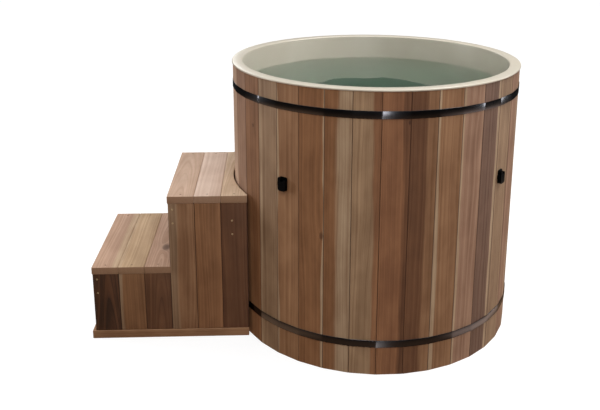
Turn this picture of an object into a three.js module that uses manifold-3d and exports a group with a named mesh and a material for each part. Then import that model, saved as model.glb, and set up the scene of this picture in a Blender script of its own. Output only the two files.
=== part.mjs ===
// A round cold plunge tub: tongued cedar staves drawn together by two steel hoops round a moulded liner,
// with lock receivers for a cover's straps, a bottom drain and a matching set of two steps.
// Millimetres, +Z up. The tub's axis is Z and the floor is z = 0.
// The front faces -Y and the steps stand towards -X.

import * as THREE from 'three';
import { mergeVertices } from 'three/addons/utils/BufferGeometryUtils.js';
import Module from 'manifold-3d';

const wasm = await Module();
wasm.setup();

// Clearances
const FIT = 0.3; // between pieces that touch
const HOLE_CLEARANCE = 1; // round a pipe or bolt that passes through a hole
const LINER_CLEARANCE = 0.6; // between the staves and the liner or the floor inside them

// Barrel of staves
const TUB_HEIGHT = 965; // floor to the top of the rim
const STAVE_COUNT = 36;
const STAVE_FACE = 89; // width of a stave's outer flat
const STAVE_THICKNESS = 28;
const STAVE_TURN = 0.6; // degrees from the front to the middle of the first stave
const STAVE_CHAMFER = 1.2;
const TONGUE_DEPTH = 7;
const TONGUE_THICKNESS = 9;

// Liner
const LINER_WALL = 6;
const LINER_TAPER = 4; // how much closer to the axis the wall is at the floor
const LINER_CORNER = 55; // inside radius between wall and floor
const LIP_THICKNESS = 7;
const LIP_OVERHANG = 2.5; // past the corners of the staves
const RIM_ROUNDING = 5; // at the lip's inner edge

// Floor under the liner
const DECK_THICKNESS = 19;
const BEARER_COUNT = 5;
const BEARER_WIDTH = 38;
const BEARER_HEIGHT = 89;
const BEARER_SETBACK = 10; // from the edge of the deck
const BEARER_HOUSING = 3; // how deep a bearer is let into the deck
const BEARER_CLEARANCE = 12; // between the last bearer and the bend of the drain

// Hoops
const HOOP_HEIGHT = 25;
const HOOP_THICKNESS = 1.5;
const UPPER_HOOP_DROP = 79; // rim to the middle of the upper hoop
const LOWER_HOOP_RISE = 112.5; // floor to the middle of the lower hoop
const HOOP_OPENING = 30; // between the two ears of a hoop
const EAR_LENGTH = 24;
const EAR_THICKNESS = 4;
const EAR_ROUNDING = 8;
const BOLT_RADIUS = 4;
const BOLT_STANDOFF = 13; // bolt axis from the stave's face
const BOLT_HEAD_RADIUS = 7.5;
const BOLT_HEAD_HEIGHT = 5.5;
const BOLT_TAIL = 8; // thread past the nut

// Lock receivers for the cover's straps
const RECEIVER_COUNT = 4;
const RECEIVER_FIRST_STAVE = 5;
const RECEIVER_DROP = 339; // rim to the middle of a receiver
const RECEIVER_SHIFT = -16; // from the middle of its stave, positive to the right
const RECEIVER_WIDTH = 30;
const RECEIVER_HEIGHT = 46;
const RECEIVER_DEPTH = 13;
const RECEIVER_PLATE = 3; // thickness of the back plate and of the front wall
const RECEIVER_ROUNDING = 6;
const HORN_WIDTH = 9; // each guide beside the mouth of the slot
const RIGHT_HORN_DROP = 7; // how much shorter the right horn is than the left one
const MOUTH_DEPTH = 2; // front wall between the horns, below the rounding of the right one
const SLOT_WIDTH = 22;
const SLOT_FLOOR = 9; // material below the slot
const TAB_WIDTH = 3; // release tab at the left side
const TAB_HEIGHT = 14;

// Drain
const DRAIN_MARGIN = 7; // between the strainer and the rounded corner of the liner's floor
const PIPE_RISE = 46; // floor to the pipe's axis
const PIPE_RADIUS = 24;
const PIPE_BORE = 18;
const SOCKET_RADIUS = 31;
const SOCKET_LENGTH = 22;
const STRAINER_RADIUS = 46;
const STRAINER_THICKNESS = 5;
const STRAINER_BAR = 5;
const STRAINER_BARS = 3;
const TAIL_INSERTION = 25; // how far the strainer's tail goes into the bend
const VALVE_STANDOFF = 24; // stave face to the valve
const VALVE_RADIUS = 35;
const VALVE_LENGTH = 58;
const VALVE_SHOULDER = 7;
const SPIGOT_RADIUS = 15;
const SPIGOT_LENGTH = 42;
const BARB_HEIGHT = 2.5;
const BARB_COUNT = 3;
const BARB_SLOPE = 0.7; // share of a barb's pitch that slopes
const SPIGOT_RECESS = 3;
const BONNET_RADIUS = 13;
const BONNET_RISE = 46; // pipe axis to the top of the bonnet
const STEM_RADIUS = 6;
const STEM_HEIGHT = 8;
const LEVER_HUB_RADIUS = 16;
const LEVER_HUB_HEIGHT = 14;
const LEVER_NECK = 26; // width of the paddle at the hub
const LEVER_LENGTH = 96;
const LEVER_WIDTH = 24;
const LEVER_THICKNESS = 7;

// Steps
const LOWER_TREAD_HEIGHT = 274; // floor to the top of the tread
const UPPER_TREAD_HEIGHT = 534;
const TREAD_BOARDS = 3;
const TREAD_LENGTH = 495; // across the steps
const TREAD_OVERHANG = 1; // past the sides and risers
const BOARD_WIDTH = 89;
const BOARD_THICKNESS = 26;
const BOARD_GAP = 3; // between tread boards
const BOARD_ROUNDING = 2;
const GROOVE = 1.6; // V joint between upright boards
const STEP_STANDOFF = 5; // between the barrel's corners and the edge cut round it
const STEP_SETBACK = 8; // square end of the upper boards, back from where that cut would leave them
const BASE_THICKNESS = 30;
const BASE_TOE = 12; // how far the base reaches past the lower riser
const BASE_PROUD = 3; // how far it stands proud of the sides
const BASE_WIDTH = 70;
const CLEAT_WIDTH = 30;
const CLEAT_HEIGHT = 40;

// Sizes that follow
const HALF_PITCH = Math.PI / STAVE_COUNT;
const APOTHEM = STAVE_FACE / 2 / Math.tan(HALF_PITCH); // axis to a stave's outer flat
const INNER_APOTHEM = APOTHEM - STAVE_THICKNESS;
const CORNER_RADIUS = APOTHEM / Math.cos(HALF_PITCH);
const LINER_RADIUS = INNER_APOTHEM - LINER_CLEARANCE; // outside of the liner's wall
const LIP_UNDERSIDE = TUB_HEIGHT - LIP_THICKNESS;
const DECK_TOP = BEARER_HEIGHT + DECK_THICKNESS;
const LINER_FLOOR = DECK_TOP + FIT + LINER_WALL;
const FLAT_FLOOR = LINER_RADIUS - LINER_TAPER - LINER_WALL - LINER_CORNER; // radius of the flat part
const DRAIN_REACH = FLAT_FLOOR - STRAINER_RADIUS - DRAIN_MARGIN; // tub axis to the drain
const LAST_BEARER = DRAIN_REACH - SOCKET_RADIUS - BEARER_CLEARANCE - BEARER_WIDTH / 2;
const TAIL_RADIUS = PIPE_RADIUS;
const SOCKET_TOP = BEARER_HEIGHT - FIT;
const TAIL_FOOT = SOCKET_TOP - TAIL_INSERTION;
const VALVE_START = APOTHEM + VALVE_STANDOFF;
const VALVE_MIDDLE = VALVE_START + SOCKET_LENGTH + VALVE_LENGTH / 2;
const BONNET_TOP = PIPE_RISE + BONNET_RISE;
const DRAIN_STAVE = Math.round(STAVE_COUNT / 2);
const HOOP_STAVE = DRAIN_STAVE + 2;
const HOOP_FACE = APOTHEM + FIT;

// Materials
const CEDAR_TONES = [0x9a7050, 0x84583d, 0xa98560, 0x6f4a38, 0xb08a6a];

function cedar(index) {
  const color = CEDAR_TONES[index % CEDAR_TONES.length];
  return new THREE.MeshStandardMaterial({ color, roughness: 0.62, metalness: 0 });
}

const shellCream = new THREE.MeshStandardMaterial({ color: 0xe6e2d2, roughness: 0.25, metalness: 0 });
const blackSteel = new THREE.MeshStandardMaterial({ color: 0x17171a, roughness: 0.35, metalness: 0.6 });
const boltSteel = new THREE.MeshStandardMaterial({ color: 0x8d8f92, roughness: 0.35, metalness: 0.9 });
const blackPlastic = new THREE.MeshStandardMaterial({ color: 0x121213, roughness: 0.5, metalness: 0 });
const greyPlastic = new THREE.MeshStandardMaterial({ color: 0x9b9d9e, roughness: 0.45, metalness: 0 });
const leverRed = new THREE.MeshStandardMaterial({ color: 0x8f2a22, roughness: 0.45, metalness: 0 });
const paleWood = new THREE.MeshStandardMaterial({ color: 0xb79a72, roughness: 0.75, metalness: 0 });

// Solid helpers

// One welded closed skin, without the slivers that fold up where a revolved outline meets its axis.
function closed(geometry) {
  const bare = geometry.clone();
  bare.deleteAttribute('normal');
  bare.deleteAttribute('uv');
  const welded = mergeVertices(bare, 1e-3);
  const kept = [];
  const index = welded.index.array;
  for (let i = 0; i < index.length; i += 3) {
    const [a, b, c] = [index[i], index[i + 1], index[i + 2]];
    if (a !== b && b !== c && c !== a) kept.push(a, b, c);
  }
  welded.setIndex(kept);
  return welded;
}

function solid(geometry) {
  const skin = closed(geometry);
  const vertProperties = new Float32Array(skin.attributes.position.array);
  const triVerts = new Uint32Array(skin.index.array);
  return new wasm.Manifold(new wasm.Mesh({ numProp: 3, vertProperties, triVerts }));
}

function geometryOf(body) {
  const { vertProperties, triVerts } = body.getMesh();
  const geometry = new THREE.BufferGeometry();
  geometry.setAttribute('position', new THREE.BufferAttribute(vertProperties, 3));
  geometry.setIndex(new THREE.BufferAttribute(triVerts, 1));
  geometry.computeVertexNormals();
  return geometry;
}

// Joins the first list of geometries into one body and takes the second list away from it.
function carve(joined, removed = []) {
  let body = joined.map(solid).reduce((whole, piece) => whole.add(piece));
  for (const cutter of removed) body = body.subtract(solid(cutter));
  return geometryOf(body);
}

// A box between two corners.
function block(x0, y0, z0, x1, y1, z1) {
  const box = new THREE.BoxGeometry(x1 - x0, y1 - y0, z1 - z0);
  return box.translate((x0 + x1) / 2, (y0 + y1) / 2, (z0 + z1) / 2);
}

// An upright round bar, its foot at the given point.
function post(radius, x, y, z0, z1, segments = 24) {
  const bar = new THREE.CylinderGeometry(radius, radius, z1 - z0, segments);
  return bar.rotateX(Math.PI / 2).translate(x, y, (z0 + z1) / 2);
}

// An outline of (radius, height) points turned about Z. It runs outwards along the foot and up the outside.
function revolve(outline, segments) {
  return closed(new THREE.LatheGeometry(outline, segments).rotateX(Math.PI / 2));
}

function roundedOutline(x0, y0, x1, y1, radius) {
  const outline = new THREE.Shape();
  outline.absarc(x1 - radius, y0 + radius, radius, -Math.PI / 2, 0);
  outline.absarc(x1 - radius, y1 - radius, radius, 0, Math.PI / 2);
  outline.absarc(x0 + radius, y1 - radius, radius, Math.PI / 2, Math.PI);
  outline.absarc(x0 + radius, y0 + radius, radius, Math.PI, Math.PI * 1.5);
  outline.closePath();
  return outline;
}

function extrude(outline, depth, curveSegments = 2) {
  return new THREE.ExtrudeGeometry(outline, { depth, bevelEnabled: false, curveSegments });
}

// An outline drawn in Y and Z, extruded outwards along X.
function extrudeOut(outline, depth, curveSegments = 2) {
  const [x, y, z] = [new THREE.Vector3(1, 0, 0), new THREE.Vector3(0, 1, 0), new THREE.Vector3(0, 0, 1)];
  return extrude(outline, depth, curveSegments).applyMatrix4(new THREE.Matrix4().makeBasis(y, z, x));
}

function place(parent, name, geometry, material) {
  const mesh = new THREE.Mesh(geometry, material);
  mesh.name = name;
  parent.add(mesh);
  return mesh;
}

function staveAngle(index) {
  return THREE.MathUtils.degToRad(STAVE_TURN - 90) + index * 2 * HALF_PITCH;
}

// A group in the frame of one stave: X points outwards through the middle of its face, Y runs to its right.
function staveFrame(parent, index) {
  const group = new THREE.Group();
  group.rotation.z = staveAngle(index);
  parent.add(group);
  return group;
}

// Staves

// A point by the joint at one side of a stave: along the joint's plane from the axis, and across that plane.
function jointPoint(side, along, across) {
  const angle = side * HALF_PITCH;
  const x = along * Math.cos(angle) - across * Math.sin(angle);
  const y = along * Math.sin(angle) + across * Math.cos(angle);
  return new THREE.Vector2(x, y);
}

// Mitred sides, a tongue on the right, a groove on the left and eased outer edges.
function staveOutline() {
  const half = FIT / 2;
  const inner = INNER_APOTHEM / Math.cos(HALF_PITCH);
  const outer = CORNER_RADIUS - STAVE_CHAMFER;
  const middle = (inner + CORNER_RADIUS) / 2;
  const halfTongue = TONGUE_THICKNESS / 2;
  const halfGroove = halfTongue + FIT;
  const faceEdge = STAVE_FACE / 2 - half - STAVE_CHAMFER;
  return new THREE.Shape([
    jointPoint(-1, inner, half),
    jointPoint(-1, middle - halfGroove, half),
    jointPoint(-1, middle - halfGroove, TONGUE_DEPTH + FIT),
    jointPoint(-1, middle + halfGroove, TONGUE_DEPTH + FIT),
    jointPoint(-1, middle + halfGroove, half),
    jointPoint(-1, outer, half),
    new THREE.Vector2(APOTHEM, -faceEdge),
    new THREE.Vector2(APOTHEM, faceEdge),
    jointPoint(1, outer, -half),
    jointPoint(1, middle + halfTongue, -half),
    jointPoint(1, middle + halfTongue, TONGUE_DEPTH),
    jointPoint(1, middle - halfTongue, TONGUE_DEPTH),
    jointPoint(1, middle - halfTongue, -half),
    jointPoint(1, inner, -half),
  ]);
}

function addStaves(tub) {
  const plain = extrude(staveOutline(), LIP_UNDERSIDE - FIT);
  const holeRadius = PIPE_RADIUS + HOLE_CLEARANCE;
  const pipeHole = new THREE.CylinderGeometry(holeRadius, holeRadius, 4 * STAVE_THICKNESS, 24);
  pipeHole.rotateZ(Math.PI / 2).translate(APOTHEM, 0, PIPE_RISE);
  const drilled = carve([plain], [pipeHole]);
  for (let index = 0; index < STAVE_COUNT; index += 1) {
    const name = `stave_${String(index + 1).padStart(2, '0')}`;
    const geometry = index === DRAIN_STAVE ? drilled : plain;
    place(staveFrame(tub, index), name, geometry, cedar(index * 7 + (index >> 1)));
  }
}

// Liner

function linerOutline() {
  const wall = LINER_RADIUS;
  const foot = wall - LINER_TAPER;
  const inside = wall - LINER_WALL;
  const under = LINER_FLOOR - LINER_WALL;
  const outerCorner = LINER_CORNER + LINER_WALL;
  const edge = LIP_THICKNESS / 2;
  const lip = CORNER_RADIUS + LIP_OVERHANG;
  const quarter = Math.PI / 2;
  const outline = new THREE.Path();
  outline.moveTo(0, under);
  outline.lineTo(foot - outerCorner, under);
  outline.absarc(foot - outerCorner, under + outerCorner, outerCorner, -quarter, 0);
  outline.lineTo(wall, LIP_UNDERSIDE);
  outline.absarc(lip - edge, LIP_UNDERSIDE + edge, edge, -quarter, quarter);
  outline.absarc(inside + RIM_ROUNDING, TUB_HEIGHT - RIM_ROUNDING, RIM_ROUNDING, quarter, 2 * quarter);
  outline.absarc(FLAT_FLOOR, LINER_FLOOR + LINER_CORNER, LINER_CORNER, 0, -quarter, true);
  outline.lineTo(0, LINER_FLOOR);
  return outline.getPoints(2);
}

function drainPoint() {
  const angle = staveAngle(DRAIN_STAVE);
  return [DRAIN_REACH * Math.cos(angle), DRAIN_REACH * Math.sin(angle)];
}

function addLiner(tub) {
  const shell = revolve(linerOutline(), 2 * STAVE_COUNT);
  const hole = post(TAIL_RADIUS + HOLE_CLEARANCE, ...drainPoint(), DECK_TOP - 1, LINER_FLOOR + 1);
  place(tub, 'liner', carve([shell], [hole]), shellCream);
}

// Floor

function addFloor(tub) {
  const deck = post(LINER_RADIUS, 0, 0, BEARER_HEIGHT, DECK_TOP, 2 * STAVE_COUNT);
  const bearerTop = BEARER_HEIGHT + BEARER_HOUSING;
  const reach = LINER_RADIUS - BEARER_SETBACK;
  const bearers = [];
  for (let index = 0; index < BEARER_COUNT; index += 1) {
    const y = LAST_BEARER * ((2 * index) / (BEARER_COUNT - 1) - 1);
    const far = Math.abs(y) + BEARER_WIDTH / 2;
    const half = Math.sqrt(reach * reach - far * far);
    bearers.push(block(-half, y - BEARER_WIDTH / 2, 0, half, y + BEARER_WIDTH / 2, bearerTop));
  }
  const hole = post(TAIL_RADIUS + HOLE_CLEARANCE, ...drainPoint(), BEARER_HEIGHT - 1, DECK_TOP + 1);
  place(tub, 'floor_platform', carve([deck, ...bearers], [hole]), paleWood);
}

// Hoops

function hoopRing(face) {
  const corner = (radius) => (_, index) => {
    const angle = (2 * index + 1) * HALF_PITCH;
    return new THREE.Vector2(radius * Math.cos(angle), radius * Math.sin(angle));
  };
  const ring = (apothem) => Array.from({ length: STAVE_COUNT }, corner(apothem / Math.cos(HALF_PITCH)));
  const outline = new THREE.Shape(ring(face + HOOP_THICKNESS));
  outline.holes.push(new THREE.Path(ring(face).reverse()));
  return extrude(outline, HOOP_HEIGHT);
}

// The band is bent over every corner, and its two ends turn out into ears that the draw bolt pulls together.
function hoop() {
  const mid = HOOP_HEIGHT / 2;
  const half = HOOP_OPENING / 2;
  const opening = block(HOOP_FACE - 1, -half, -1, HOOP_FACE + HOOP_THICKNESS + 1, half, HOOP_HEIGHT + 1);
  const earOutline = new THREE.Shape();
  earOutline.moveTo(0, 0);
  earOutline.lineTo(EAR_LENGTH - EAR_ROUNDING, 0);
  earOutline.absarc(EAR_LENGTH - EAR_ROUNDING, EAR_ROUNDING, EAR_ROUNDING, -Math.PI / 2, 0);
  earOutline.absarc(EAR_LENGTH - EAR_ROUNDING, HOOP_HEIGHT - EAR_ROUNDING, EAR_ROUNDING, 0, Math.PI / 2);
  earOutline.lineTo(0, HOOP_HEIGHT);
  const boltHole = new THREE.Path();
  boltHole.absarc(BOLT_STANDOFF, mid, BOLT_RADIUS + HOLE_CLEARANCE, 0, Math.PI * 2, true);
  earOutline.holes.push(boltHole);
  const ear = extrude(earOutline, EAR_THICKNESS, 4).rotateX(Math.PI / 2);
  const right = ear.clone().translate(HOOP_FACE, half + EAR_THICKNESS, 0);
  const left = ear.clone().translate(HOOP_FACE, -half, 0);
  const band = carve([hoopRing(HOOP_FACE)], [opening]);
  return carve([band, right, left]);
}

// Hexagon head, shank and nut on one axis along Y, through both ears.
function drawBolt() {
  const grip = HOOP_OPENING / 2 + EAR_THICKNESS + FIT;
  const bar = (radius, y0, y1, segments) =>
    new THREE.CylinderGeometry(radius, radius, y1 - y0, segments).translate(0, (y0 + y1) / 2, 0);
  const head = bar(BOLT_HEAD_RADIUS, grip, grip + BOLT_HEAD_HEIGHT, 6);
  const nut = bar(BOLT_HEAD_RADIUS, -grip - BOLT_HEAD_HEIGHT, -grip, 6);
  const shank = bar(BOLT_RADIUS, -grip - BOLT_HEAD_HEIGHT - BOLT_TAIL, grip + BOLT_HEAD_HEIGHT / 2, 16);
  return carve([head, nut, shank]).translate(HOOP_FACE + BOLT_STANDOFF, 0, HOOP_HEIGHT / 2);
}

function addHoops(tub) {
  const band = hoop();
  const bolt = drawBolt();
  const heights = { upper: TUB_HEIGHT - UPPER_HOOP_DROP, lower: LOWER_HOOP_RISE };
  for (const [level, height] of Object.entries(heights)) {
    const frame = staveFrame(tub, HOOP_STAVE);
    frame.position.z = height - HOOP_HEIGHT / 2;
    place(frame, `${level}_hoop`, band, blackSteel);
    place(frame, `${level}_hoop_bolt`, bolt, boltSteel);
  }
}

// Lock receivers

// Front view of the housing: two rounded horns, the left one taller, beside the mouth of the slot.
function receiverFront() {
  const side = RECEIVER_WIDTH / 2;
  const foot = -RECEIVER_HEIGHT / 2;
  const tip = RECEIVER_HEIGHT / 2;
  const corner = RECEIVER_ROUNDING;
  const hornRounding = HORN_WIDTH / 2;
  const mouth = tip - RIGHT_HORN_DROP - hornRounding - MOUTH_DEPTH;
  const horn = (edge, height) => outline.absarc(edge, height - hornRounding, hornRounding, 0, Math.PI);
  const outline = new THREE.Shape();
  outline.absarc(-side + corner, foot + corner, corner, Math.PI, Math.PI * 1.5);
  outline.absarc(side - corner, foot + corner, corner, Math.PI * 1.5, Math.PI * 2);
  horn(side - hornRounding, tip - RIGHT_HORN_DROP);
  outline.lineTo(side - HORN_WIDTH, mouth);
  outline.lineTo(-side + HORN_WIDTH, mouth);
  horn(-side + hornRounding, tip);
  outline.closePath();
  return outline;
}

function receiver() {
  const side = RECEIVER_WIDTH / 2;
  const half = RECEIVER_HEIGHT / 2;
  const front = RECEIVER_DEPTH - RECEIVER_PLATE;
  const plate = extrudeOut(roundedOutline(-side, -half, side, half, RECEIVER_ROUNDING), RECEIVER_PLATE);
  const housing = extrudeOut(receiverFront(), RECEIVER_DEPTH);
  const tab = extrudeOut(
    roundedOutline(-side - TAB_WIDTH, -TAB_HEIGHT / 2, -side + TAB_WIDTH, TAB_HEIGHT / 2, TAB_WIDTH),
    front,
  );
  const slot = block(RECEIVER_PLATE, -SLOT_WIDTH / 2, SLOT_FLOOR - half, front, SLOT_WIDTH / 2, half + 1);
  return carve([plate, housing, tab], [slot]);
}

function addReceivers(tub) {
  const geometry = receiver();
  for (let index = 0; index < RECEIVER_COUNT; index += 1) {
    const stave = RECEIVER_FIRST_STAVE + Math.round((index * STAVE_COUNT) / RECEIVER_COUNT);
    const mesh = place(staveFrame(tub, stave), `strap_receiver_${index + 1}`, geometry, blackPlastic);
    mesh.position.set(APOTHEM + FIT, RECEIVER_SHIFT, TUB_HEIGHT - RECEIVER_DROP);
  }
}

// Drain

// A flange on the liner's floor with bars across its mouth, and a tail that goes down through the deck.
function strainer() {
  const seat = LINER_FLOOR + FIT;
  const top = seat + STRAINER_THICKNESS;
  const outline = [
    [PIPE_BORE, TAIL_FOOT],
    [TAIL_RADIUS, TAIL_FOOT],
    [TAIL_RADIUS, seat],
    [STRAINER_RADIUS, seat],
    [STRAINER_RADIUS, seat + STRAINER_THICKNESS / 3],
    [STRAINER_RADIUS - STRAINER_THICKNESS, top],
    [PIPE_BORE, top],
    [PIPE_BORE, TAIL_FOOT],
  ].map(([radius, height]) => new THREE.Vector2(radius, height));
  const bars = [];
  for (let index = 0; index < STRAINER_BARS; index += 1) {
    const y = ((index - (STRAINER_BARS - 1) / 2) * 2 * PIPE_BORE) / STRAINER_BARS;
    const reach = PIPE_BORE + 1;
    bars.push(block(-reach, y - STRAINER_BAR / 2, seat + 1, reach, y + STRAINER_BAR / 2, top - 1));
  }
  return carve([revolve(outline, 32), ...bars]);
}

// Round pieces on the pipe's axis, from the bend through the stave to the hose spigot, as one outline.
function runOutline() {
  const valve = VALVE_START + SOCKET_LENGTH;
  const valveEnd = valve + VALVE_LENGTH;
  const spigot = valveEnd + SOCKET_LENGTH;
  const end = spigot + SPIGOT_LENGTH;
  const rim = SPIGOT_RADIUS - SPIGOT_RECESS;
  const outline = [
    [0, DRAIN_REACH],
    [PIPE_RADIUS, DRAIN_REACH],
    [PIPE_RADIUS, VALVE_START],
    [SOCKET_RADIUS, VALVE_START],
    [SOCKET_RADIUS, valve],
    [VALVE_RADIUS, valve + VALVE_SHOULDER],
    [VALVE_RADIUS, valveEnd - VALVE_SHOULDER],
    [SOCKET_RADIUS, valveEnd],
    [SOCKET_RADIUS, spigot],
    [SPIGOT_RADIUS, spigot],
  ];
  const barb = SPIGOT_LENGTH / (BARB_COUNT + 1);
  for (let index = 1; index <= BARB_COUNT; index += 1) {
    const start = spigot + index * barb;
    outline.push([SPIGOT_RADIUS, start]);
    outline.push([SPIGOT_RADIUS + BARB_HEIGHT, start]);
    outline.push([SPIGOT_RADIUS, start + barb * BARB_SLOPE]);
  }
  outline.push([SPIGOT_RADIUS, end], [rim, end], [rim, end - SPIGOT_RECESS], [0, end - SPIGOT_RECESS]);
  return outline.map(([radius, along]) => new THREE.Vector2(radius, along));
}

// Turns a body made about Z so that it lies along X, on the pipe's axis.
function alongPipe(geometry) {
  return geometry.rotateY(Math.PI / 2).translate(0, 0, PIPE_RISE);
}

function ball(radius, x, z, segments) {
  return new THREE.SphereGeometry(radius, segments, segments / 2).rotateX(Math.PI / 2).translate(x, 0, z);
}

// Bend, pipe, valve body and hose spigot, welded together with solvent.
// The valve is shut, so the bore ends in it.
function pipework() {
  const run = alongPipe(revolve(runOutline(), 24));
  const bend = ball(SOCKET_RADIUS, DRAIN_REACH, PIPE_RISE, 20);
  const socket = post(SOCKET_RADIUS, DRAIN_REACH, 0, PIPE_RISE, SOCKET_TOP);
  const bonnet = post(BONNET_RADIUS, VALVE_MIDDLE, 0, PIPE_RISE, BONNET_TOP, 20);
  const stem = post(STEM_RADIUS, VALVE_MIDDLE, 0, PIPE_RISE, BONNET_TOP + STEM_HEIGHT, 16);
  const tailBore = post(TAIL_RADIUS + FIT, DRAIN_REACH, 0, TAIL_FOOT - FIT, SOCKET_TOP + 1);
  const dropBore = post(PIPE_BORE, DRAIN_REACH, 0, PIPE_RISE, SOCKET_TOP, 20);
  const bendBore = ball(PIPE_BORE, DRAIN_REACH, PIPE_RISE, 16);
  const runBore = alongPipe(post(PIPE_BORE, 0, 0, DRAIN_REACH, VALVE_START + SOCKET_LENGTH, 20));
  return carve([run, bend, socket, bonnet, stem], [tailBore, dropBore, bendBore, runBore]);
}

// A hub over the valve's stem and a paddle with a rounded end, pointing along -Y while the valve is shut.
function lever() {
  const seat = BONNET_TOP + FIT;
  const hub = post(LEVER_HUB_RADIUS, 0, 0, seat, seat + LEVER_HUB_HEIGHT, 24);
  const round = LEVER_WIDTH / 2;
  const outline = new THREE.Shape();
  outline.moveTo(LEVER_NECK / 2, 0);
  outline.lineTo(-LEVER_NECK / 2, 0);
  outline.absarc(0, -LEVER_LENGTH + round, round, Math.PI, Math.PI * 2);
  outline.closePath();
  const paddle = extrude(outline, LEVER_THICKNESS, 6);
  paddle.translate(0, 0, seat + LEVER_HUB_HEIGHT - LEVER_THICKNESS - 1);
  const stemHole = post(STEM_RADIUS + FIT, 0, 0, seat - 1, BONNET_TOP + STEM_HEIGHT + FIT, 16);
  return carve([hub, paddle], [stemHole]);
}

function addDrain(tub) {
  const frame = staveFrame(tub, DRAIN_STAVE);
  place(frame, 'drain_strainer', strainer(), greyPlastic).position.x = DRAIN_REACH;
  place(frame, 'drain_pipework', pipework(), greyPlastic);
  place(frame, 'drain_lever', lever(), leverRed).position.x = VALVE_MIDDLE;
}

// Steps

const SCRIBE_RADIUS = CORNER_RADIUS + STEP_STANDOFF;
const HALF_TREAD = TREAD_LENGTH / 2;
const SIDE_FACE = HALF_TREAD - TREAD_OVERHANG; // middle of the steps to the outer face of a side
const TREAD_DEPTH = TREAD_BOARDS * (BOARD_WIDTH + BOARD_GAP) - BOARD_GAP;
// Right edge of the upper boards, beside the cut round the tub.
const UPPER_RIGHT = -Math.sqrt(SCRIBE_RADIUS ** 2 - HALF_TREAD ** 2) - STEP_SETBACK;
const UPPER_LEFT = UPPER_RIGHT - TREAD_DEPTH + TREAD_OVERHANG; // left edge of the upper side boards
const LOWER_RIGHT = UPPER_LEFT - FIT; // right edge of the lower tread
const LOWER_LEFT = LOWER_RIGHT - TREAD_DEPTH + TREAD_OVERHANG;
const LOWER_SIDE_TOP = LOWER_TREAD_HEIGHT - BOARD_THICKNESS - FIT;
const UPPER_SIDE_TOP = UPPER_TREAD_HEIGHT - BOARD_THICKNESS - FIT;
const SIDE_FOOT = BASE_THICKNESS + FIT;

// The round cut that lets the steps stand close to the barrel.
function scribe() {
  return post(SCRIBE_RADIUS, 0, 0, -1, UPPER_TREAD_HEIGHT + 1, 120);
}

function treadBoard(right, top) {
  const outline = roundedOutline(right - BOARD_WIDTH, top - BOARD_THICKNESS, right, top, BOARD_ROUNDING);
  return extrude(outline, TREAD_LENGTH, 1).rotateX(Math.PI / 2).translate(0, HALF_TREAD, 0);
}

function addTreads(steps) {
  const levels = {
    lower: { right: LOWER_RIGHT, top: LOWER_TREAD_HEIGHT },
    upper: { right: UPPER_RIGHT, top: UPPER_TREAD_HEIGHT },
  };
  for (const [level, { right, top }] of Object.entries(levels)) {
    for (let index = 0; index < TREAD_BOARDS; index += 1) {
      const fromRight = TREAD_BOARDS - 1 - index;
      const board = treadBoard(right - fromRight * (BOARD_WIDTH + BOARD_GAP), top);
      const geometry = level === 'upper' && fromRight === 0 ? carve([board], [scribe()]) : board;
      place(steps, `${level}_tread_${index + 1}`, geometry, cedar(index * 2 + (level === 'upper' ? 1 : 0)));
    }
  }
}

// Plan of one side, with a V joint between its upright boards on the outer face.
function sidePlan() {
  const outer = -SIDE_FACE;
  const inner = outer + BOARD_THICKNESS;
  const plan = new THREE.Shape();
  plan.moveTo(LOWER_LEFT, outer);
  for (const [left, right] of [[LOWER_LEFT, UPPER_LEFT], [UPPER_LEFT, UPPER_RIGHT]]) {
    const pitch = (right - left) / TREAD_BOARDS;
    for (let index = 1; index <= TREAD_BOARDS; index += 1) {
      const joint = left + index * pitch;
      plan.lineTo(joint - GROOVE, outer);
      plan.lineTo(joint, outer + GROOVE);
      plan.lineTo(joint + GROOVE, outer);
    }
  }
  plan.lineTo(UPPER_RIGHT + BOARD_WIDTH, outer);
  plan.lineTo(UPPER_RIGHT + BOARD_WIDTH, inner);
  plan.lineTo(LOWER_LEFT, inner);
  return plan;
}

// Upright boards under both treads, with the cleats inside that the tread boards are screwed to.
function frontSide() {
  const inner = -SIDE_FACE + BOARD_THICKNESS;
  const boards = extrude(sidePlan(), UPPER_SIDE_TOP - SIDE_FOOT).translate(0, 0, SIDE_FOOT);
  const notch = block(
    LOWER_LEFT - 1, -SIDE_FACE - 1, LOWER_SIDE_TOP, UPPER_LEFT, inner + 1, UPPER_SIDE_TOP + 1,
  );
  const cleat = (left, right, top) =>
    block(left, inner - FIT, top - CLEAT_HEIGHT, right, inner + CLEAT_WIDTH, top);
  const behindRiser = BOARD_THICKNESS + FIT;
  const lower = cleat(LOWER_LEFT + behindRiser, UPPER_LEFT - FIT, LOWER_SIDE_TOP);
  const upper = cleat(UPPER_LEFT + behindRiser, UPPER_RIGHT, UPPER_SIDE_TOP);
  return carve([carve([boards], [notch]), lower, upper], [scribe()]);
}

// Horizontal boards between the two sides, jointed on the face that is kicked.
function riser(left, top) {
  const profile = new THREE.Shape();
  profile.moveTo(left, SIDE_FOOT);
  profile.lineTo(left + BOARD_THICKNESS, SIDE_FOOT);
  profile.lineTo(left + BOARD_THICKNESS, top);
  profile.lineTo(left, top);
  const boards = Math.ceil((top - SIDE_FOOT) / BOARD_WIDTH);
  for (let index = boards - 1; index > 0; index -= 1) {
    const joint = SIDE_FOOT + index * BOARD_WIDTH;
    profile.lineTo(left, joint + GROOVE);
    profile.lineTo(left + GROOVE, joint);
    profile.lineTo(left, joint - GROOVE);
  }
  const half = SIDE_FACE - BOARD_THICKNESS - FIT;
  return extrude(profile, 2 * half).rotateX(Math.PI / 2).translate(0, half, 0);
}

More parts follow.
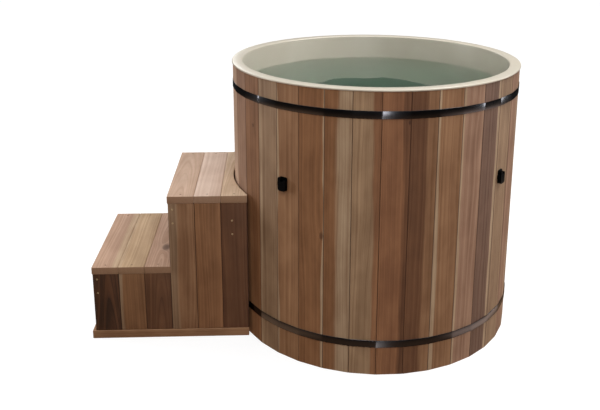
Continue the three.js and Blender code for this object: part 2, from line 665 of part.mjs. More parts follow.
// Flat boards joined into a ring under the sides and risers, standing proud of them, cut round at the tub.
function base() {
  const left = LOWER_LEFT - BASE_TOE;
  const half = SIDE_FACE + BASE_PROUD;
  const outline = new THREE.Shape();
  outline.moveTo(left, -half);
  outline.lineTo(0, -half);
  outline.lineTo(0, half);
  outline.lineTo(left, half);
  const inside = new THREE.Path();
  const insideRight = -SCRIBE_RADIUS - BASE_WIDTH;
  inside.moveTo(left + BASE_WIDTH, -half + BASE_WIDTH);
  inside.lineTo(left + BASE_WIDTH, half - BASE_WIDTH);
  inside.lineTo(insideRight, half - BASE_WIDTH);
  inside.lineTo(insideRight, -half + BASE_WIDTH);
  outline.holes.push(inside);
  const beyond = block(UPPER_RIGHT, -half - 1, -1, 1, half + 1, BASE_THICKNESS + 1);
  return carve([extrude(outline, BASE_THICKNESS)], [scribe(), beyond]);
}

function addSteps(part) {
  const steps = new THREE.Group();
  part.add(steps);
  addTreads(steps);
  const side = frontSide();
  place(steps, 'front_side', side, cedar(1));
  place(steps, 'rear_side', side, cedar(1)).scale.y = -1;
  place(steps, 'lower_riser', riser(LOWER_LEFT, LOWER_SIDE_TOP), cedar(0));
  place(steps, 'upper_riser', riser(UPPER_LEFT, UPPER_SIDE_TOP), cedar(2));
  place(steps, 'step_base', base(), cedar(3));
}

// Assembly

const part = new THREE.Group();
const tub = new THREE.Group();
part.add(tub);
addStaves(tub);
addLiner(tub);
addFloor(tub);
addHoops(tub);
addReceivers(tub);
addDrain(tub);
addSteps(part);

export default part;
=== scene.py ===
import math
from dataclasses import dataclass

import bmesh
import bpy
from mathutils import Matrix, Vector


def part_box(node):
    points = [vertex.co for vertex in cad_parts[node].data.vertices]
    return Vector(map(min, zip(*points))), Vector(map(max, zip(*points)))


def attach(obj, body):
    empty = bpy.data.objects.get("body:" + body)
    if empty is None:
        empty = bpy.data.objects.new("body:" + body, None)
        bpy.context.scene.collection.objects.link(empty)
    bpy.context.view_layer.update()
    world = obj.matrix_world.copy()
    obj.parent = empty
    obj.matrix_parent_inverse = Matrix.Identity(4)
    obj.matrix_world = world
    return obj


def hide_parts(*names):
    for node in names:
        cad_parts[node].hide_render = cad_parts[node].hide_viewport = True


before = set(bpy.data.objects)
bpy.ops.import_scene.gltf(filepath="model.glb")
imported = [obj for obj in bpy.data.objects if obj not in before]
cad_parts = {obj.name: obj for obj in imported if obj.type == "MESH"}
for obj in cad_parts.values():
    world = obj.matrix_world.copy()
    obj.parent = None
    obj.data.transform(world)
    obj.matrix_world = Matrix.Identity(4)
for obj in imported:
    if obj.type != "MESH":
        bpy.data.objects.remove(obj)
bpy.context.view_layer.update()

# Sizes in metres. Places that the solids give are read off the imported solids further down.
FIT = 0.0003
STAVE_COUNT = 36
STAVE_FACE = 0.089
STAVE_THICKNESS = 0.028
STAVE_TURN = math.radians(0.6)
HALF_PITCH = math.pi / STAVE_COUNT
APOTHEM = STAVE_FACE / 2 / math.tan(HALF_PITCH)

LINER_CLEARANCE = 0.0006
LINER_RADIUS = APOTHEM - STAVE_THICKNESS - LINER_CLEARANCE
LINER_WALL = 0.006
LINER_TAPER = 0.004
LINER_CORNER = 0.055
LIP_THICKNESS = 0.007
RIM_ROUNDING = 0.005
WATER_DROP = 0.090
WATER_OVERLAP = 0.0005
RECEIVER_EASE = 0.0006

HOOP_STAVE = 20
HOOP_THICKNESS = 0.0015
HOOP_EDGE = 0.45 * HOOP_THICKNESS
HOOP_BEND = 0.070
HOOP_BOW = math.radians(1.8)
HOOP_OPENING = 0.030
EAR_LENGTH = 0.024
EAR_THICKNESS = 0.004
EAR_ROUNDING = 0.008
EAR_EASE = 0.0006
BOLT_RADIUS = 0.004
BOLT_CLEARANCE = 0.0006
BOLT_STANDOFF = 0.013
BOLT_HEAD_RADIUS = 0.0075
BOLT_HEAD_HEIGHT = 0.0055  # with its washer
BOLT_EASE = 0.0005
BOLT_TAIL = 0.008
WASHER = 0.0012
THREAD_PITCH = 0.00125
THREAD_DEPTH = 0.0006

DRAIN_STAVE = 18
DRAIN_REACH = 0.36204
BEARER_HEIGHT = 0.089
PLASTIC_EASE = 0.002
PIPE_RISE = 0.046
PIPE_RADIUS = 0.024
PIPE_BORE = 0.018
SOCKET_RADIUS = 0.031
SOCKET_LENGTH = 0.022
STRAINER_RADIUS = 0.046
STRAINER_THICKNESS = 0.005
STRAINER_ROUNDING = 0.003
DISH_WIDTH = 0.006
DISH_DEPTH = 0.002
BAR_WIDTH = 0.005
BAR_THICKNESS = 0.003
BAR_DROP = 0.0045
BAR_SEATING = 0.003
BAR_EASE = 0.0008
VALVE_STANDOFF = 0.024
VALVE_START = APOTHEM + VALVE_STANDOFF
VALVE_RADIUS = 0.035
VALVE_LENGTH = 0.058
VALVE_SHOULDER = 0.007
VALVE_MIDDLE = VALVE_START + SOCKET_LENGTH + VALVE_LENGTH / 2
SPIGOT_RADIUS = 0.015
SPIGOT_LENGTH = 0.042
SPIGOT_RECESS = 0.003
SPIGOT_BORE_DEPTH = 0.020
BARB_HEIGHT = 0.0025
BARB_STEP = 0.0006
BARB_RUN = 0.7  # share of a barb's length that slopes
BARB_COUNT = 3
COLLAR_RADIUS = 0.017
COLLAR_TOP = PIPE_RISE + 0.037
BONNET_RADIUS = 0.013
BONNET_FOOT = PIPE_RISE + 0.039
BONNET_TOP = PIPE_RISE + 0.046
STEM_RADIUS = 0.006
STEM_HEIGHT = 0.008
LEVER_HUB_RADIUS = 0.016
LEVER_HUB_HEIGHT = 0.014
LEVER_NECK = 0.026
LEVER_LENGTH = 0.096
LEVER_WIDTH = 0.024
LEVER_THICKNESS = 0.007
LEVER_DROP = 0.001
LEVER_SCREW_SIZE = 1.4

TREAD_BOARDS = 3
BOARD_THICKNESS = 0.026
BOARD_WIDTH = 0.089
TREAD_ROUNDING = 0.0014
TREAD_GROWTH = 0.0011
STEP_STANDOFF = 0.005
JOINT_ROUNDING = 0.0015
JOINT_GAP = 0.0004
BASE_WIDTH = 0.070
CLEAT_WIDTH = 0.030
CLEAT_HEIGHT = 0.040
SCREW_RADIUS = 0.0036
SCREW_SINK = 0.0006
SCREW_INSET = 0.020
SCREW_DOME = 0.35  # height of the head as a share of its radius
CROSS_HALF_WIDTH = 0.16  # shares of the head's radius
CROSS_REACH = 0.62
CROSS_DEPTH = 0.6  # share of the head's height

WELD_REACH = 0.00002
SHARP_EDGE = math.radians(40)
UP = Vector((0, 0, 1))


# Mesh helpers


def arc(x, y, radius, start, end, steps):
    """Points of an arc about (x, y), with angles in quarter turns."""
    angles = [math.pi / 2 * (start + (end - start) * i / steps) for i in range(steps + 1)]
    return [(x + radius * math.cos(a), y + radius * math.sin(a)) for a in angles]


def bridge(bm, lower, upper):
    """Faces between two rings of vertices, where a ring of one vertex is a point."""
    count = max(len(lower), len(upper))
    for i in range(count):
        j = (i + 1) % count
        corners = [lower[i % len(lower)], lower[j % len(lower)], upper[j % len(upper)], upper[i % len(upper)]]
        kept = [v for n, v in enumerate(corners) if v not in corners[:n]]
        if len(kept) > 2:
            bm.faces.new(kept)


def lathe(bm, outline, segments, matrix=Matrix(), closed=False):
    """Turns an outline of (radius, height) about Z. It starts and ends on the axis, or closes on itself."""
    rows = []
    for radius, height in outline:
        count = segments if radius > 1e-7 else 1
        angles = [2 * math.pi * i / count for i in range(count)]
        points = [Vector((radius * math.cos(a), radius * math.sin(a), height)) for a in angles]
        rows.append([bm.verts.new(matrix @ point) for point in points])
    for lower, upper in zip(rows, rows[1:]):
        bridge(bm, lower, upper)
    if closed:
        bridge(bm, rows[-1], rows[0])
    return rows


def slab(bm, outline, depth, rounding, matrix=Matrix(), holes=(), segments=3):
    """A flat plate of that outline, from z = 0 up to its depth, with its edges rounded."""
    part = bmesh.new()
    loops = [[part.verts.new((x, y, 0)) for x, y in points] for points in (outline, *holes)]
    if holes:
        edges = [part.edges.new((loop[i - 1], loop[i])) for loop in loops for i in range(len(loop))]
        bmesh.ops.triangle_fill(part, use_beauty=True, edges=edges)
    else:
        part.faces.new(loops[0])
    grown = bmesh.ops.extrude_face_region(part, geom=list(part.faces))["geom"]
    raised = [v for v in grown if isinstance(v, bmesh.types.BMVert)]
    bmesh.ops.translate(part, vec=(0, 0, depth), verts=raised)
    bmesh.ops.recalc_face_normals(part, faces=part.faces)
    sharp = [e for e in part.edges if e.calc_face_angle(0) > SHARP_EDGE]
    bmesh.ops.bevel(part, geom=sharp, offset=rounding, segments=segments, profile=0.5, affect="EDGES")
    bmesh.ops.transform(part, matrix=matrix, verts=part.verts)
    mesh = bpy.data.meshes.new("slab")
    part.to_mesh(mesh)
    part.free()
    bm.from_mesh(mesh)
    bpy.data.meshes.remove(mesh)


def rectangle(x0, y0, x1, y1):
    """Corners of a rectangle, counter-clockwise."""
    return [(x0, y0), (x1, y0), (x1, y1), (x0, y1)]


def piece(name, bm, material, body, replaces=(), crease=35):
    """Makes an object of a finished mesh and lets it ride on a body."""
    bmesh.ops.recalc_face_normals(bm, faces=bm.faces)
    mesh = bpy.data.meshes.new(name)
    bm.to_mesh(mesh)
    bm.free()
    mesh.shade_smooth()
    mesh.set_sharp_from_angle(angle=math.radians(crease))
    mesh.materials.append(material)
    made = bpy.data.objects.new(name, mesh)
    bpy.context.scene.collection.objects.link(made)
    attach(made, body)
    if replaces:
        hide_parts(*replaces)


def stave_frame(index, out=APOTHEM, right=0.0, up=0.0):
    """A frame on a stave: X points outwards through the middle of its face, Y runs to its right and Z up."""
    angle = STAVE_TURN - math.pi / 2 + index * 2 * HALF_PITCH
    return Matrix.Rotation(angle, 4, "Z") @ Matrix.Translation((out, right, up))


def direction(angle):
    """Unit vector in plan."""
    return Vector((math.cos(angle), math.sin(angle)))


def axes_frame(origin, x, y, z):
    """A frame whose axes point along three given directions."""
    turn = Matrix((x, y, z)).transposed().to_4x4()
    return Matrix.Translation(origin) @ turn


# Material helpers


def linear(red, green, blue):
    """A colour given as it looks on a screen, from 0 to 255, as the shader takes it."""
    shares = [value / 255 for value in (red, green, blue)]
    return (*[s / 12.92 if s <= 0.04045 else ((s + 0.055) / 1.055) ** 2.4 for s in shares], 1.0)


SEED_STRIDE = (1.37, 2.11, 0.73)  # how far each seed moves a noise


class Graph:
    """One material's nodes, with a short call for each kind that the finishes use."""

    def __init__(self, name):
        self.material = bpy.data.materials.new(name)
        self.material.use_nodes = True
        self.tree = self.material.node_tree
        self.shader = self.tree.nodes["Principled BSDF"]
        self.output = self.tree.nodes["Material Output"]
        self.coords = self.add("ShaderNodeTexCoord").outputs
        self.place = self.coords["Object"]

    def add(self, kind, inputs=None, **settings):
        made = self.tree.nodes.new(kind)
        for key, value in settings.items():
            setattr(made, key, value)
        for key, value in (inputs or {}).items():
            self.feed(made.inputs[key], value)
        return made

    def feed(self, socket, value):
        if isinstance(value, bpy.types.NodeSocket):
            self.tree.links.new(value, socket)
        else:
            socket.default_value = value

    def finish(self, **inputs):
        """Sets the shader's sockets, named with underscores for spaces."""
        for key, value in inputs.items():
            self.feed(self.shader.inputs[key.replace("_", " ")], value)
        return self.material

    def math(self, operation, a, b=0.0, c=0.0):
        return self.add("ShaderNodeMath", {0: a, 1: b, 2: c}, operation=operation).outputs[0]

    def spread(self, value, low, high, to_low=0.0, to_high=1.0):
        """A smooth step from one value to another."""
        inputs = {"Value": value, "From Min": low, "From Max": high, "To Min": to_low, "To Max": to_high}
        return self.add("ShaderNodeMapRange", inputs, interpolation_type="SMOOTHSTEP").outputs[0]

    def noise(self, vector, scale, seed, detail=2.0, low=0.3, high=0.7):
        """Noise from 0 to 1, with a scale for each axis. The seed moves it to a place of its own."""
        shift = [seed * stride for stride in SEED_STRIDE]
        at = self.add("ShaderNodeVectorMath", {0: vector, 1: scale, 2: shift}, operation="MULTIPLY_ADD")
        inputs = {"Vector": at.outputs[0], "Scale": 1.0, "Detail": detail}
        return self.spread(self.add("ShaderNodeTexNoise", inputs).outputs[0], low, high)

    def mix(self, factor, a, b):
        return self.add("ShaderNodeMix", {0: factor, 6: a, 7: b}, data_type="RGBA").outputs[2]

    def bump(self, height, distance, strength=1.0):
        inputs = {"Height": height, "Distance": distance, "Strength": strength}
        return self.add("ShaderNodeBump", inputs).outputs[0]


# Cedar

CEDAR = {  # colour of the late wood and of the early wood
    "tan": (linear(118, 80, 52), linear(178, 136, 100)),
    "brown": (linear(100, 66, 41), linear(152, 109, 74)),
    "red": (linear(110, 69, 45), linear(168, 119, 83)),
    "umber": (linear(80, 50, 32), linear(124, 84, 57)),
    "walnut": (linear(84, 54, 35), linear(132, 90, 61)),
    "dusk": (linear(92, 66, 52), linear(140, 107, 88)),
    "bark": (linear(38, 22, 12), linear(110, 70, 44)),
    "hazel": (linear(112, 74, 46), linear(168, 121, 84)),
    "olive": (linear(129, 99, 72), linear(191, 158, 124)),
    "straw": (linear(120, 92, 68), linear(180, 149, 118)),
    "pink": (linear(127, 92, 71), linear(185, 148, 122)),
    # Honey to pale serve mostly the treads: their paleness is partly the wood and partly painted top light
    # and sheen, and the darker lower-tread tones are partly painted shade.
    "honey": (linear(153, 123, 92), linear(200, 170, 136)),
    "dun": (linear(152, 118, 95), linear(197, 163, 139)),
    "sand": (linear(184, 154, 125), linear(229, 202, 173)),
    "fawn": (linear(174, 141, 117), linear(219, 188, 164)),
    "pale": (linear(194, 163, 142), linear(232, 208, 190)),
    "sap": (linear(152, 122, 94), linear(204, 178, 147)),
}
# The knots' dark wood, also used as the painted shade in the grooves between boards.
DARK_WOOD_AND_SEAM_SHADE = linear(58, 34, 24)  # of knots and seams
END_GRAIN = linear(150, 114, 86)
PITH = {  # how far the tree's middle lies behind the board's face and to its side, and how it leans
    "straight": (0.010, 0.170, 0.004),
    "rift": (0.080, 0.090, 0.012),
    "flat": (0.055, 0.008, 0.035),
    "arched": (0.016, 0.006, 0.060),
}
FIGURE = {"straight": 0.20, "rift": 0.22, "flat": 0.34, "arched": 0.70}
RING_PITCH = {"straight": 0.0032, "rift": 0.0036, "flat": 0.0050, "arched": 0.0085}
BAND_RATE = 115.0  # bands of lighter and darker growth in a metre of radius
BAND_SHARE = 0.38  # what bands, broad streaks and clouds add to a board's tone
BROAD_SHARE = 0.26
CLOUD_SHARE = 0.36
FIBRE_SHARE = 0.20
KNOT_SHARE = 0.65
END_SHARE = 0.85
KNOT_SWIRL = 2.4  # how far a knot pushes the rings aside, in knot radii
PITH_WANDER = 0.012
STRIP_WANDER = 0.010
SEAM_WIDTH = 0.0024


@dataclass
class Look:
    """One board's own wood."""

    tone: str
    grain: str = "straight"
    sap: float = 0.0  # width of a second tone along the right edge, or the left one if negative
    knots: tuple = ()  # across, along and radius of each
    edge: str = "sap"  # that second tone


def ring_radius(g, at, look, seed):
    """Distance from the middle of the tree, which wanders along the board."""
    x, y, z = g.add("ShaderNodeSeparateXYZ", {0: at}).outputs
    behind, beside, lean = PITH[look.grain]
    hand = 1 if seed % 2 else -1
    wander = g.noise(at, (9, 9, 1.7), seed)
    wander = g.math("MULTIPLY_ADD", wander, PITH_WANDER, hand * beside - PITH_WANDER / 2)
    depth = g.math("MULTIPLY_ADD", z, lean, behind)
    ring = g.add("ShaderNodeCombineXYZ", {0: g.math("ADD", x, depth), 1: g.math("ADD", y, wander)})
    return g.add("ShaderNodeVectorMath", {0: ring.outputs[0]}, operation="LENGTH").outputs[1]


def knot_reach(g, at, side, along, size):
    """Distance from a knot's middle in knot radii. A knot is twice as long as it is wide."""
    inputs = {0: at, 1: (0, 1 / size, 0.5 / size), 2: (0, -side / size, -0.5 * along / size)}
    offset = g.add("ShaderNodeVectorMath", inputs, operation="MULTIPLY_ADD").outputs[0]
    return g.add("ShaderNodeVectorMath", {0: offset}, operation="LENGTH").outputs[1]


def rings_round_knots(g, at, look, seed):
    """Distance from the middle of the tree, pushed aside by the knots, and the knots' cores."""
    radius = ring_radius(g, at, look, seed)
    cores = []
    for side, along, size in look.knots:
        reach = knot_reach(g, at, side, along, size)
        swirl = g.math("DIVIDE", KNOT_SWIRL * size, g.math("MULTIPLY_ADD", reach, reach, 1.0))
        radius = g.math("ADD", radius, swirl)
        cores.append(g.spread(reach, 1.3, 0.4))
    return radius, cores


def growth_bands(g, radius, seed):
    """Lighter and darker growth, from 0 to 1."""
    growth = g.math("MULTIPLY_ADD", radius, BAND_RATE, seed * 3.1)
    inputs = {"W": growth, "Scale": 1.0, "Detail": 4.0, "Roughness": 0.6}
    bands = g.add("ShaderNodeTexNoise", inputs, noise_dimensions="1D").outputs[0]
    return g.spread(bands, 0.28, 0.72)


def edge_strip(g, at, y, width, look, seed):
    """1 in the strip of the second tone and 0 outside it, with a border that wanders."""
    inset = g.math("MULTIPLY_ADD", y, -math.copysign(1, look.sap), width / 2)
    wander = g.noise(at, (14, 14, 2.6), seed + 160)
    inset = g.math("MULTIPLY_ADD", wander, STRIP_WANDER, g.math("SUBTRACT", inset, STRIP_WANDER / 2))
    return g.spread(inset, abs(look.sap) * 1.15, abs(look.sap) * 0.75)


def paint_seam_shade(g, colour, x, y, width, seam_shade):
    """Painted shade in the grooves along both edges of a board's face, as strong as the share given."""
    edge = g.spread(g.math("ABSOLUTE", y), width / 2 - SEAM_WIDTH, width / 2, 0.0, seam_shade)
    near_face = g.spread(x, -2 * SEAM_WIDTH, -SEAM_WIDTH)
    return g.mix(g.math("MULTIPLY", edge, near_face), colour, DARK_WOOD_AND_SEAM_SHADE)


def show_end_grain(g, colour, board):
    """The plain colour of faces that cut across the grain."""
    facing = {0: g.coords["Normal"], 1: board.col[2].xyz}
    along_grain = g.add("ShaderNodeVectorMath", facing, operation="DOT_PRODUCT").outputs[1]
    end = g.spread(g.math("ABSOLUTE", along_grain), 0.6, 0.9, 0.0, END_SHARE)
    return g.mix(end, colour, END_GRAIN)


def cedar(name, board, width, look, seed, seam_shade=0.8):
    """Sawn cedar for one board. In its frame X points out of the face, Y across it and Z along the grain."""
    g = Graph(name)
    to_board = board.inverted()
    turn = {"Vector": g.place, "Location": to_board.translation, "Rotation": to_board.to_euler()}
    at = g.add("ShaderNodeMapping", turn).outputs[0]
    x, y = g.add("ShaderNodeSeparateXYZ", {0: at}).outputs[:2]

    radius, cores = rings_round_knots(g, at, look, seed)
    bands = growth_bands(g, radius, seed)
    late = g.spread(g.math("FRACT", g.math("DIVIDE", radius, RING_PITCH[look.grain])), 0.55, 1.0)
    broad = g.noise(at, (22, 22, 0.9), seed + 40)
    clouds = g.noise(at, (14, 14, 7), seed + 80, detail=3)
    fibres = g.noise(at, (900, 900, 9), seed + 120, detail=1)

    tone = g.math("MULTIPLY", clouds, CLOUD_SHARE)
    tone = g.math("MULTIPLY_ADD", broad, BROAD_SHARE, tone)
    tone = g.math("MULTIPLY_ADD", bands, BAND_SHARE, tone)
    deep, light = CEDAR[look.tone]
    colour = g.mix(tone, deep, light)
    if look.sap:
        strip = edge_strip(g, at, y, width, look, seed)
        colour = g.mix(strip, colour, g.mix(tone, *CEDAR[look.edge]))
    colour = g.mix(g.math("MULTIPLY", late, FIGURE[look.grain]), colour, deep)
    colour = g.mix(g.math("MULTIPLY", fibres, FIBRE_SHARE), colour, deep)
    # Painted shade in the groove where two boards meet.
    if seam_shade:
        colour = paint_seam_shade(g, colour, x, y, width, seam_shade)
    for core in cores:
        colour = g.mix(g.math("MULTIPLY", core, KNOT_SHARE), colour, DARK_WOOD_AND_SEAM_SHADE)

    height = g.math("MULTIPLY_ADD", fibres, -0.35, g.math("MULTIPLY_ADD", late, -0.4, bands))
    return g.finish(
        Base_Color=show_end_grain(g, colour, board),
        Roughness=g.spread(bands, 0.0, 1.0, 0.66, 0.52),
        Specular_IOR_Level=0.35,
        Normal=g.bump(height, 0.0005, 0.5),
    )


# Other finishes


def gelcoat():
    """Moulded cream liner, faintly clouded, with a glossy skin that isn't quite level."""
    g = Graph("liner_gelcoat")
    clouds = g.noise(g.place, (5, 5, 5), 3, detail=3)
    specks = g.noise(g.place, (160, 160, 160), 9, detail=2, low=0.62, high=0.78)
    colour = g.mix(clouds, linear(203, 194, 177), linear(209, 201, 185))
    colour = g.mix(g.math("MULTIPLY", specks, 0.10), colour, linear(178, 168, 142))
    waves = g.noise(g.place, (7, 7, 7), 5, detail=1)
    return g.finish(
        Base_Color=colour,
        Roughness=g.spread(clouds, 0, 1, 0.40, 0.32),
        Coat_Weight=0.35,
        Coat_Roughness=0.30,
        Normal=g.bump(waves, 0.0006, 0.02),
    )


def black_strip():
    """Blackened steel hoop. Its fine rolling lines run along it, so its highlights stretch up and down."""
    g = Graph("hoop_steel")
    lines = g.noise(g.place, (3, 3, 900), 2, detail=2)
    wear = g.noise(g.place, (12, 12, 40), 6, detail=3)
    along = g.add("ShaderNodeTangent", direction_type="RADIAL", axis="Z").outputs[0]
    return g.finish(
        Base_Color=g.mix(wear, linear(76, 76, 80), linear(82, 82, 86)),
        Metallic=1.0,
        Roughness=g.spread(g.math("ADD", lines, wear), 0.0, 2.0, 0.18, 0.21),
        Anisotropic=0.85,
        Anisotropic_Rotation=0.25,
        Tangent=along,
    )


def plated_steel(name, pale, dark, metallic=1.0):
    g = Graph(name)
    stain = g.noise(g.place, (140, 140, 140), 4, detail=3)
    return g.finish(
        Base_Color=g.mix(stain, linear(*dark), linear(*pale)),
        Metallic=metallic,
        Roughness=g.spread(stain, 0, 1, 0.42, 0.24),
        Normal=g.bump(stain, 0.0002, 0.3),
    )


def moulded(name, colour, lift, roughness, specular=0.5):
    """Moulded plastic with a fine pebbled skin."""
    g = Graph(name)
    pebbles = g.noise(g.place, (1400, 1400, 1400), 1, detail=1)
    clouds = g.noise(g.place, (30, 30, 30), 7, detail=3)
    pale = [min(255, value + lift) for value in colour]
    return g.finish(
        Base_Color=g.mix(clouds, linear(*colour), linear(*pale)),
        Roughness=g.spread(clouds, 0, 1, roughness + 0.06, roughness - 0.06),
        Specular_IOR_Level=specular,
        Normal=g.bump(pebbles, 0.0002, 0.35),
    )


def still_water():
    """Clear water with the green cast that its depth gives it."""
    g = Graph("water")
    shiver = g.noise(g.place, (34, 34, 34), 11, detail=2)
    colour = linear(245, 252, 248)
    g.finish(
        Base_Color=colour,
        Roughness=0.0,
        IOR=1.333,
        Transmission_Weight=1.0,
        Normal=g.bump(shiver, 0.0006, 0.06),
    )
    tint = {"Color": (0.28, 0.85, 0.83, 1.0), "Density": 0.6}
    depth = g.add("ShaderNodeVolumeAbsorption", tint)
    g.tree.links.new(depth.outputs[0], g.output.inputs["Volume"])
    return g.material


def softwood():
    """Pale framing timber."""
    g = Graph("framing_timber")
    streaks = g.noise(g.place, (6, 220, 220), 8, detail=3)
    clouds = g.noise(g.place, (5, 20, 20), 2, detail=2)
    colour = g.mix(streaks, linear(150, 118, 80), linear(204, 176, 134))
    return g.finish(
        Base_Color=g.mix(g.math("MULTIPLY", clouds, 0.3), colour, linear(176, 138, 92)),
        Roughness=g.spread(streaks, 0, 1, 0.78, 0.66),
        Normal=g.bump(streaks, 0.0005, 0.4),
    )


cream = gelcoat()
black_steel = black_strip()
bolt_steel = plated_steel("bolt_plating", (176, 178, 182), (120, 122, 126))
screw_steel = plated_steel("screw_plating", (236, 212, 166), (206, 178, 130), 0.4)
bronze_steel = plated_steel("tread_screw_plating", (126, 96, 70), (86, 62, 44), 0.6)
black_plastic = moulded("receiver_plastic", (0, 0, 1), 3, 0.60, 0.06)
grey_plastic = moulded("pipe_plastic", (150, 152, 153), 14, 0.40)
red_plastic = moulded("lever_plastic", (140, 40, 32), 16, 0.42)


def dress(node, material, rounding=0.0):
    """Gives a solid its finish, with its sharp edges eased where a rounding is given."""
    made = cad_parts[node]
    made.data.materials.clear()
    made.data.materials.append(material)
    if rounding:
        weld = made.modifiers.new("weld", "WELD")
        weld.merge_threshold = WELD_REACH
        ease = made.modifiers.new("ease", "BEVEL")
        ease.width = rounding
        ease.segments = 2
        ease.limit_method = "ANGLE"
        ease.angle_limit = SHARP_EDGE


# Staves, from the one that faces the camera round to the right

STAVES = [
    Look("red", "straight", 0.020, ((0.040, 0.862, 0.004),), "walnut"),
    Look("walnut", "straight", 0.034, (), "tan"),
    Look("tan", "straight", -0.012),
    Look("pink", "rift", -0.008),
    Look("dusk", "straight", 0.014),
    Look("straw"),
    Look("pink", "rift", 0.008),
    Look("tan"),
    Look("tan", "flat"),
    Look("brown", "straight", -0.012),
    Look("olive"),
    Look("red", "rift"),
    Look("tan", "straight", 0.022),
    Look("umber"),
    Look("brown", "flat"),
    Look("olive", "straight", -0.016),
    Look("tan"),
    Look("red", "straight", 0.010),
    Look("brown"),
    Look("pink", "rift"),
    Look("tan", "straight", -0.020),
    Look("umber", "straight", 0.012),
    Look("tan", "flat"),
    Look("olive"),
    Look("brown"),
    Look("red", "straight", 0.018),
    Look("tan"),
    Look("pink", "straight", -0.010),
    Look("fawn"),
    Look("pink"),
    Look("hazel", "rift", 0.0, ((0.006, 0.79, 0.004),)),
    Look("straw", "straight", -0.010),
    Look("tan", "straight", -0.006),
    Look("hazel", "straight", 0.007, ((0.036, 0.475, 0.007),)),
    Look("hazel", "straight", 0.048),
    Look("olive", "rift", 0.022, (), "red"),
]


def dress_staves():
    for index, look in enumerate(STAVES):
        node = f"stave_{index + 1:02d}"
        dress(node, cedar(node, stave_frame(index), STAVE_FACE, look, index + 1))


# Liner and water


def wall_outline(inset, top):
    """Floor, corner and wall of the liner's inside, moved outwards by an inset, up to a height."""
    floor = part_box("liner")[0].z + LINER_WALL
    foot = LINER_RADIUS - LINER_TAPER - LINER_WALL
    centre = (foot - LINER_CORNER, floor + LINER_CORNER)
    corner = arc(*centre, LINER_CORNER + inset, -1, 0, 12)
    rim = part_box("liner")[1].z
    wall = foot + LINER_TAPER * (top - centre[1]) / (rim - centre[1])
    return [(0, floor - inset), *corner, (wall + inset, top)]


def make_liner():
    """One skin: under the floor, up outside the wall, round the lip and the rim, and down the inside."""
    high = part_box("liner")[1]
    outside = wall_outline(LINER_WALL, high.z - LIP_THICKNESS)
    inside = wall_outline(0, high.z - RIM_ROUNDING)
    edge = LIP_THICKNESS / 2
    lip = arc(high.x - edge, high.z - edge, edge, -1, 1, 8)
    rim = arc(inside[-1][0] + RIM_ROUNDING, high.z - RIM_ROUNDING, RIM_ROUNDING, 1, 2, 6)
    bm = bmesh.new()
    lathe(bm, [*outside, *lip, *rim, *reversed(inside[:-1])], segments=216)
    piece("liner_shell", bm, cream, "tub", ["liner"])


RIPPLES = [  # wave vector in radians a metre, and height
    ((18, 11), 0.00042),
    ((-9, 24), 0.00034),
    ((31, -17), 0.00020),
    ((-37, -22), 0.00015),
    ((12, 52), 0.00011),
]
RIPPLE_PHASE = 40


def ripple(x, y):
    """Height of the water's surface over its level."""
    return sum(h * math.sin(kx * x + ky * y + RIPPLE_PHASE * h * kx) for (kx, ky), h in RIPPLES)


def make_water():
    """Water up to its level, with a surface that isn't quite flat."""
    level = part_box("liner")[1].z - WATER_DROP
    outline = wall_outline(WATER_OVERLAP, level)
    edge = outline[-1][0]
    bm = bmesh.new()
    steps = 40
    surface = [(edge * (1 - i / steps), level) for i in range(1, steps + 1)]
    for row in lathe(bm, [*outline, *surface], segments=160)[len(outline) - 1:]:
        for vertex in row:
            vertex.co.z += ripple(vertex.co.x, vertex.co.y)
    piece("water", bm, still_water(), "tub", crease=60)


# Hoops

FLAT_STEPS = 8
BEND_STEPS = 4
THREAD_STEPS = 4
THREAD_SIDES = 20


def hoop_path(face):
    """Plan of a band from one ear round to the other, as points with their outward angle.

    It bends over every corner, and bows out a little between two corners.
    """
    first = STAVE_TURN - math.pi / 2 + HOOP_STAVE * 2 * HALF_PITCH
    bend = HALF_PITCH - HOOP_BOW
    half = face * math.tan(HALF_PITCH) - HOOP_BEND * math.sin(bend) / math.cos(HALF_PITCH)
    radius = half / math.sin(HOOP_BOW)
    ear = math.asin(HOOP_OPENING / 2 / radius)
    path = []
    for stave in range(STAVE_COUNT + 1):
        middle = first + stave * 2 * HALF_PITCH
        start = ear if stave == 0 else -HOOP_BOW
        stop = -ear if stave == STAVE_COUNT else HOOP_BOW
        base = direction(middle) * (face - radius * math.cos(HOOP_BOW))
        for i in range(FLAT_STEPS + 1):
            lean = middle + start + (stop - start) * i / FLAT_STEPS
            path.append((base + direction(lean) * radius, lean))
        if stave < STAVE_COUNT:
            corner = path[-1][0] - direction(middle + HOOP_BOW) * HOOP_BEND
            for i in range(1, BEND_STEPS):
                lean = middle + HOOP_BOW + 2 * bend * i / BEND_STEPS
                path.append((corner + direction(lean) * HOOP_BEND, lean))
    return path


def strip_section(height):
    """Rolled edges of the strip, as distance outwards and height."""
    edge = HOOP_EDGE
    flat = HOOP_THICKNESS - edge
    return [
        *arc(edge, edge, edge, 2, 3, 3),
        *arc(flat, edge, edge, 3, 4, 3),
        *arc(flat, height - edge, edge, 0, 1, 3),
        *arc(edge, height - edge, edge, 1, 2, 3),
    ]


def make_hoop(level):
    """A band with an ear on each end, and the bolt that draws it up."""
    low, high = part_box(f"{level}_hoop")
    face = APOTHEM + FIT
    section = strip_section(high.z - low.z)
    bm = bmesh.new()
    rows = []
    for point, out in hoop_path(face):
        rows.append([bm.verts.new((*(point + direction(out) * s), low.z + up)) for s, up in section])
    for row, following in zip(rows, rows[1:]):
        bridge(bm, row, following)
    bm.faces.new(rows[0])
    bm.faces.new(rows[-1])
    for side in (-1, 1):
        add_ear(bm, side, low.z, high.z)
    piece(f"{level}_hoop_strip", bm, black_steel, "tub", [f"{level}_hoop"], crease=20)
    make_bolt(level, (low.z + high.z) / 2)


